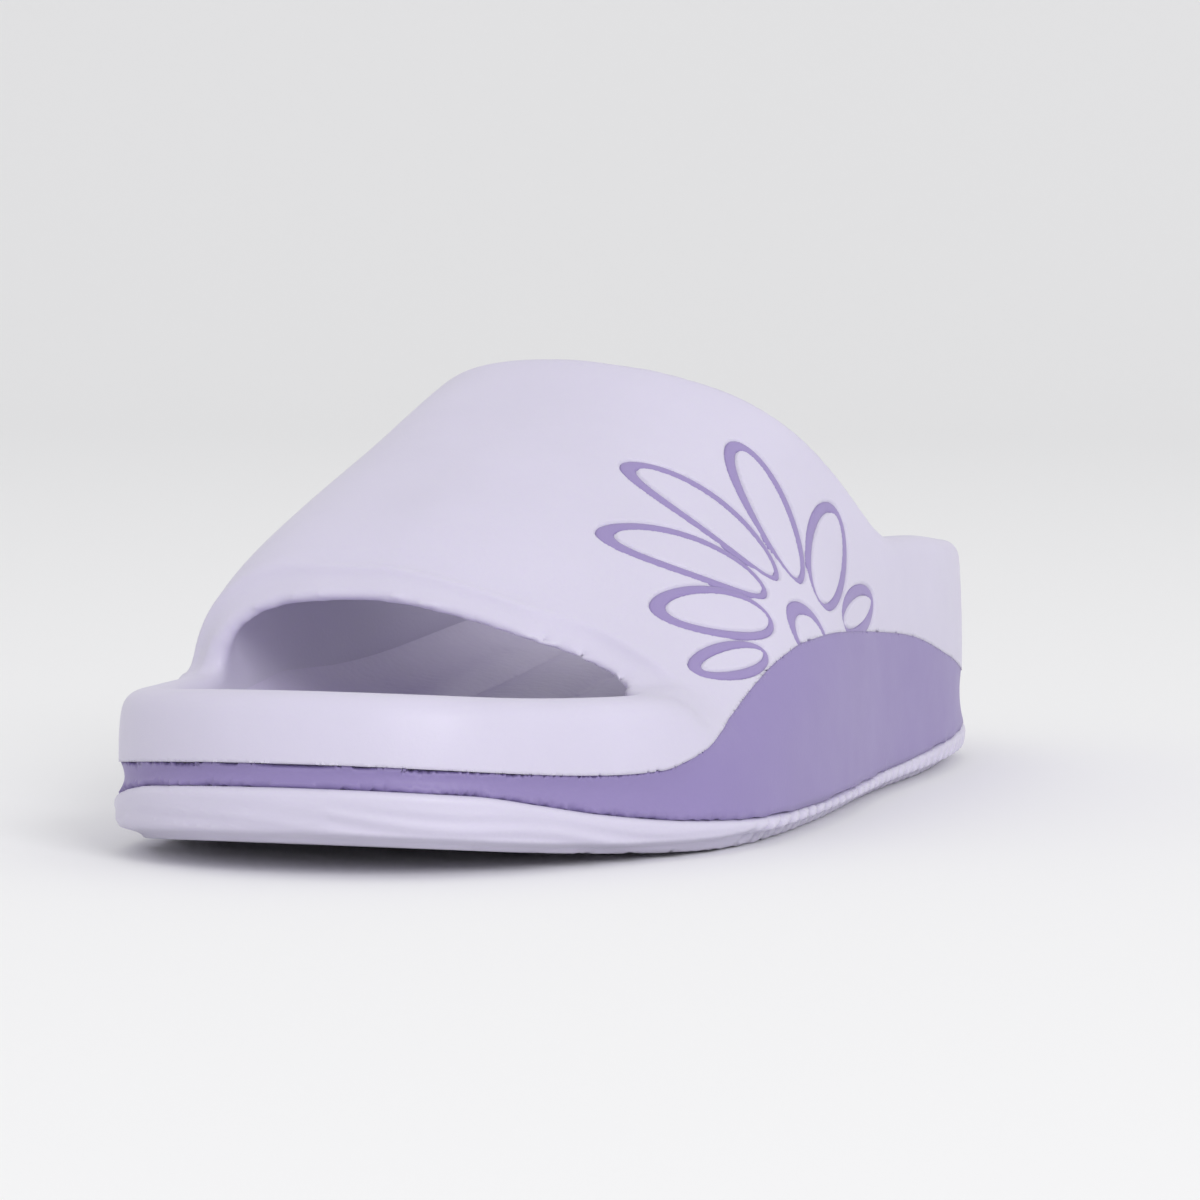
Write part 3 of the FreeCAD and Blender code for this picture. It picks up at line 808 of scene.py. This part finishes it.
def sink_groove(mesh):
    """Press the motif's grooves into the strap."""
    points = read_points(mesh)
    near = motif_distance(points)
    depth = GROOVE_DEPTH * (1 - ease((near + GROOVE_LAP) / GROOVE_WALL))
    chosen = depth > 0
    points[chosen] -= hull_normals(points[chosen]) * depth[chosen, None]
    write_points(mesh, points)


# ---------------------------------------------------------------- materials
# Colours are 0-255 display levels.
# The footbed's colour is its own lavender, made more saturated than the light foam to paint in the purple
# bounce light in its shaded hollow.
LIGHT_COLOUR, BED_COLOUR_WITH_BOUNCE = (207, 202, 222), (210, 202, 228)
DARK_COLOUR, LINE_COLOUR, FLOOR_COLOUR = (142, 128, 178), (149, 134, 184), (242, 242, 243)
BUMP_HEIGHT = 0.0003
PEBBLE_SCALE = 620
MOTTLE_SCALE, MOTTLE_SHARE = 38, 0.955
GLOSS_SCALE, GLOSS_BELOW, GLOSS_ABOVE = 120, 0.06, 0.08
FOAM_SHADER = {
    "Subsurface Weight": 0.12, "Subsurface Radius": (0.0025, 0.002, 0.003), "Subsurface Scale": 1.0,
    "Specular IOR Level": 0.42, "Sheen Weight": 0.08, "Sheen Roughness": 0.5,
}


def linear(*levels):
    """Linear colour from 0-255 display levels."""
    parts = [level / 255 for level in levels]
    return tuple(p / 12.92 if p < 0.04045 else ((p + 0.055) / 1.055) ** 2.4 for p in parts) + (1.0,)


def new_material(name, inputs):
    """A material with the given Principled inputs, and its nodes, links and shader."""
    material = bpy.data.materials.new(name)
    material.use_nodes = True
    nodes = material.node_tree.nodes
    shader = nodes["Principled BSDF"]
    for key, value in inputs.items():
        shader.inputs[key].default_value = value
    return material, nodes, material.node_tree.links, shader


def foam(name, colour, grain, depth, rough, pebble=0.0):
    """Moulded closed-cell foam: soft gloss, faint mottling and a fine moulded grain."""
    material, nodes, links, shader = new_material(name, FOAM_SHADER)
    place = nodes.new("ShaderNodeTexCoord")

    def noise(scale, detail):
        made = nodes.new("ShaderNodeTexNoise")
        made.inputs["Scale"].default_value = scale
        made.inputs["Detail"].default_value = detail
        links.new(place.outputs["Object"], made.inputs["Vector"])
        return made.outputs["Fac"]

    def bump(strength, height):
        made = nodes.new("ShaderNodeBump")
        made.inputs["Strength"].default_value = strength
        made.inputs["Distance"].default_value = BUMP_HEIGHT
        links.new(height, made.inputs["Height"])
        return made

    mottle = noise(MOTTLE_SCALE, 4)
    tint = nodes.new("ShaderNodeValToRGB")
    dull, full = tint.color_ramp.elements
    dull.position, full.position = 0.3, 0.72
    dull.color = tuple(c * MOTTLE_SHARE for c in colour[:3]) + (1,)
    full.color = colour
    links.new(mottle, tint.inputs["Fac"])
    links.new(tint.outputs["Color"], shader.inputs["Base Color"])

    gloss = nodes.new("ShaderNodeMapRange")
    gloss.inputs["To Min"].default_value = rough - GLOSS_BELOW
    gloss.inputs["To Max"].default_value = rough + GLOSS_ABOVE
    links.new(noise(GLOSS_SCALE, 2), gloss.inputs["Value"])
    links.new(gloss.outputs["Result"], shader.inputs["Roughness"])

    last = bump(depth, noise(grain, 3))
    if pebble:
        cells = nodes.new("ShaderNodeTexVoronoi")
        cells.inputs["Scale"].default_value = PEBBLE_SCALE
        cells.inputs["Randomness"].default_value = 1.0
        links.new(place.outputs["Object"], cells.inputs["Vector"])
        fine, last = last, bump(pebble, cells.outputs["Distance"])
        last.invert = True
        links.new(fine.outputs["Normal"], last.inputs["Normal"])
    links.new(last.outputs["Normal"], shader.inputs["Normal"])
    return material


# ---------------------------------------------------------------- camera, light and floor
# In metres, from here to the shoe.
CAMERA_AZIMUTH, CAMERA_ELEVATION, CAMERA_DISTANCE = math.radians(18.5), math.radians(3.4), 0.842
CAMERA_AIM, CAMERA_LENS, CAMERA_SENSOR = (0.0, 0.0, 0.036), 140, 36
KEY_PLACE, KEY_AIM, KEY_SIZE, KEY_POWER = (1.9, -2.0, 1.4), (0, 0, 0.03), 1.1, 34
WORLD_STRENGTH = 0.83
FLOOR_HALF, FLOOR_FRONT, FLOOR_BACK = 9.0, -9.0, 2.6
SWEEP_RADIUS, SWEEP_STEPS, WALL_HEIGHT = 3.0, 24, 3.0


def pointing(way):
    """The turn that points a camera or lamp against a direction."""
    return way.to_track_quat("Z", "Y").to_euler()


def make_camera():
    bpy.context.scene.view_settings.view_transform = "Standard"
    data = bpy.data.cameras.new("camera")
    camera = add_object("camera", data)
    flat = math.cos(CAMERA_ELEVATION)
    way = Vector((math.sin(CAMERA_AZIMUTH) * flat, -math.cos(CAMERA_AZIMUTH) * flat,
                  math.sin(CAMERA_ELEVATION)))
    camera.location = Vector(CAMERA_AIM) + way * CAMERA_DISTANCE
    camera.rotation_euler = pointing(way)
    data.sensor_width, data.lens = CAMERA_SENSOR, CAMERA_LENS
    data.clip_start, data.clip_end = 0.01, 50
    bpy.context.scene.camera = camera


def make_floor():
    """A pale floor that sweeps up into a wall behind the shoe."""
    line = [(FLOOR_FRONT, 0.0), (FLOOR_BACK, 0.0)]
    for k in range(1, SWEEP_STEPS + 1):
        turn = 0.5 * math.pi * k / SWEEP_STEPS
        line.append((FLOOR_BACK + SWEEP_RADIUS * math.sin(turn), SWEEP_RADIUS * (1 - math.cos(turn))))
    line.append((FLOOR_BACK + SWEEP_RADIUS, SWEEP_RADIUS + WALL_HEIGHT))
    points = [(side, y, z) for y, z in line for side in (-FLOOR_HALF, FLOOR_HALF)]
    faces = [(2 * k, 2 * k + 1, 2 * k + 3, 2 * k + 2) for k in range(len(line) - 1)]
    mesh = bpy.data.meshes.new("floor")
    mesh.from_pydata(points, [], faces)
    mesh.shade_smooth()
    floor = add_object("floor", mesh)
    pale = {"Base Color": linear(*FLOOR_COLOUR), "Roughness": 0.9, "Specular IOR Level": 0.1}
    mesh.materials.append(new_material("pale_floor", pale)[0])


def make_light():
    """An even white world and one large soft lamp."""
    world = bpy.data.worlds.new("studio")
    world.use_nodes = True
    background = world.node_tree.nodes["Background"]
    background.inputs["Color"].default_value = (1, 1, 1, 1)
    background.inputs["Strength"].default_value = WORLD_STRENGTH
    bpy.context.scene.world = world
    data = bpy.data.lights.new("key", "AREA")
    data.shape, data.size, data.energy = "SQUARE", KEY_SIZE, KEY_POWER
    light = add_object("key", data)
    light.location = KEY_PLACE
    light.rotation_euler = pointing(Vector(KEY_PLACE) - Vector(KEY_AIM))


# ---------------------------------------------------------------- the shoe
def dress(piece, material, node):
    """Give a piece its material, hang it under the root body, and hide the CAD part that it stands in for.
    """
    piece.data.materials.append(material)
    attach(piece, "root")
    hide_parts(node)


def room(bottom, top, cell):
    """Two corners of a box round the whole footprint, and its cell."""
    wide, long = HALF + MESH_MARGIN, LENGTH / 2 + MESH_MARGIN
    return (-wide, -long, bottom), (wide, long, top), cell


def make_outsole(material):
    outsole = moulded("outsole_tread", outsole_field, *room(*OUTSOLE_MESH), [at_teeth])
    dress(outsole, material, "outsole")


def make_midsole(material):
    midsole = moulded("midsole_band", midsole_field, *room(*MIDSOLE_MESH), [near_seam, on_seam])
    crease(midsole.data, midsole_wall)
    dress(midsole, material, "midsole")


def make_upper(material):
    upper = moulded("upper_shell_body", upper_field, *room(*UPPER_MESH), [near_motif, on_motif])
    soften(upper.data, at_tip)
    crease(upper.data, hull_field)
    sink_groove(upper.data)
    dress(upper, material, "upper_shell")


def make_footbed(material):
    footbed = moulded("footbed_ribbed", footbed_field, *room(*BED_MESH))
    dress(footbed, material, "footbed")


def build():
    make_camera()
    make_floor()
    make_light()
    light = foam("light_foam", linear(*LIGHT_COLOUR), 1400, 0.12, 0.46)
    # The footbed's foam: own lavender plus painted bounce light in its extra saturation.
    bed = foam("footbed_foam", linear(*BED_COLOUR_WITH_BOUNCE), 1100, 0.14, 0.44, pebble=0.2)
    dark = foam("dark_foam", linear(*DARK_COLOUR), 1400, 0.12, 0.5)
    line = foam("line_ink", linear(*LINE_COLOUR), 1800, 0.08, 0.5)
    make_outsole(light)
    make_midsole(dark)
    make_upper(light)
    make_footbed(bed)
    for loop in LOOPS:
        dress(inlay(loop), line, loop[0])


build()
